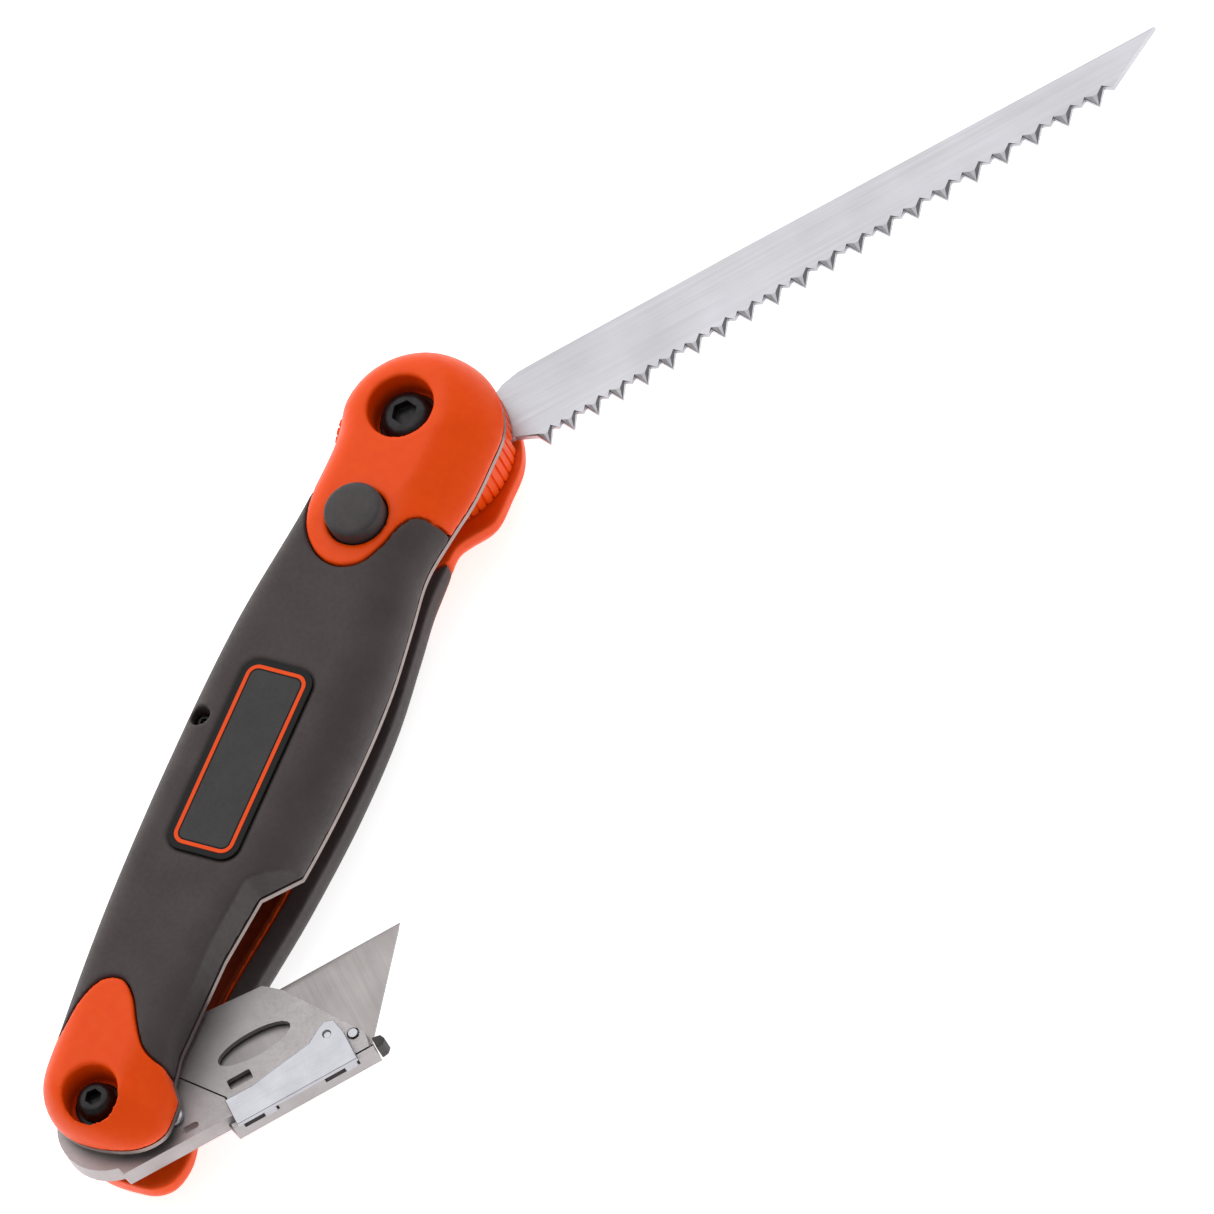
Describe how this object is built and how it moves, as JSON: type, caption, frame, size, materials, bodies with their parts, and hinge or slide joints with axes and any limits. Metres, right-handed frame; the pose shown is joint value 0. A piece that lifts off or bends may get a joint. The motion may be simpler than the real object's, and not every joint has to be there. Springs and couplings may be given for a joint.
{
  "type": "folding drywall saw",
  "caption": "Folding jab saw with push-button pivot lock and a flip-out utility knife at the other end of a rubber-gripped handle.",
  "frame": {"origin": "middle of the flat rear face that the tool lies on, half way between the two pivots", "axes": "+X from the knife pivot to the saw pivot, +Y to the closed back of the handle, +Z out of the front face"},
  "size_m": [0.2439, 0.1044, 0.031],
  "materials": {
    "orange_plastic": "moulded nylon, satin",
    "grip_rubber": "soft matte overmould",
    "blade_steel": "fine ground steel",
    "knife_steel": "bead-blasted stamped steel",
    "bright_steel": "bright zinc",
    "black_steel": "black oxide",
    "dark_plastic": "fine texture",
    "nylon": "natural"
  },
  "bodies": {
    "handle": {"front_shell": "orange_plastic", "front_grip": "grip_rubber", "front_liner": "bright_steel", "rear_shell": "orange_plastic", "rear_grip": "grip_rubber", "back_spacer": "orange_plastic", "badge_plate": "dark_plastic", "saw_pivot_bolt": "black_steel", "saw_pivot_washer": "black_steel", "saw_pivot_nut": "black_steel", "knife_pivot_bolt": "black_steel", "knife_pivot_washer": "black_steel", "knife_pivot_nut": "black_steel", "body_screw": "black_steel", "body_nut": "black_steel", "saw_front_thrust_washer": "nylon", "saw_rear_thrust_washer": "nylon", "knife_front_thrust_washer": "nylon", "knife_rear_bushing": "nylon", "lock_spring": "bright_steel"},
    "button": {"lock_button": "dark_plastic", "lock_plunger": "bright_steel"},
    "leaf": {"knife_lock_leaf": "bright_steel"},
    "saw": {"saw_blade": "blade_steel", "saw_hub": "orange_plastic", "hub_rivet_1": "bright_steel", "hub_rivet_2": "bright_steel", "hub_rivet_3": "bright_steel"},
    "knife": {"knife_carrier": "knife_steel", "knife_cover": "knife_steel", "utility_blade": "knife_steel", "thumb_stud": "bright_steel", "cover_pin": "bright_steel", "channel_end_cap": "dark_plastic"},
    "latch": {"blade_latch": "bright_steel"}
  },
  "joints": [
    {"name": "saw_pivot", "type": "hinge", "parent": "handle", "child": "saw", "pos_m": [0.065, 0, 0.014], "axis": [0, 0, 1], "range_deg": [-135.5, 42.8]},
    {"name": "knife_pivot", "type": "hinge", "parent": "handle", "child": "knife", "pos_m": [-0.065, 0, 0.014], "axis": [0, 0, 1], "range_deg": [-138, 40.5]},
    {"name": "lock_button_press", "type": "slide", "parent": "handle", "child": "button", "axis": [0, 0, -1], "range_m": [0, 0.0023], "stiffness_N_per_m": 700, "springref_m": -0.0005, "deforming": ["lock_spring"]},
    {"name": "lock_leaf_flex", "type": "hinge", "parent": "handle", "child": "leaf", "pos_m": [-0.022, -0.004, 0.0187], "axis": [0, 1, 0], "range_deg": [0, 2.5], "stiffness_Nm_per_rad": 0.5},
    {"name": "blade_latch_slide", "type": "slide", "parent": "knife", "child": "latch", "axis": [-0.7431, 0.6691, 0], "range_m": [0, 0.0035]}
  ]
}
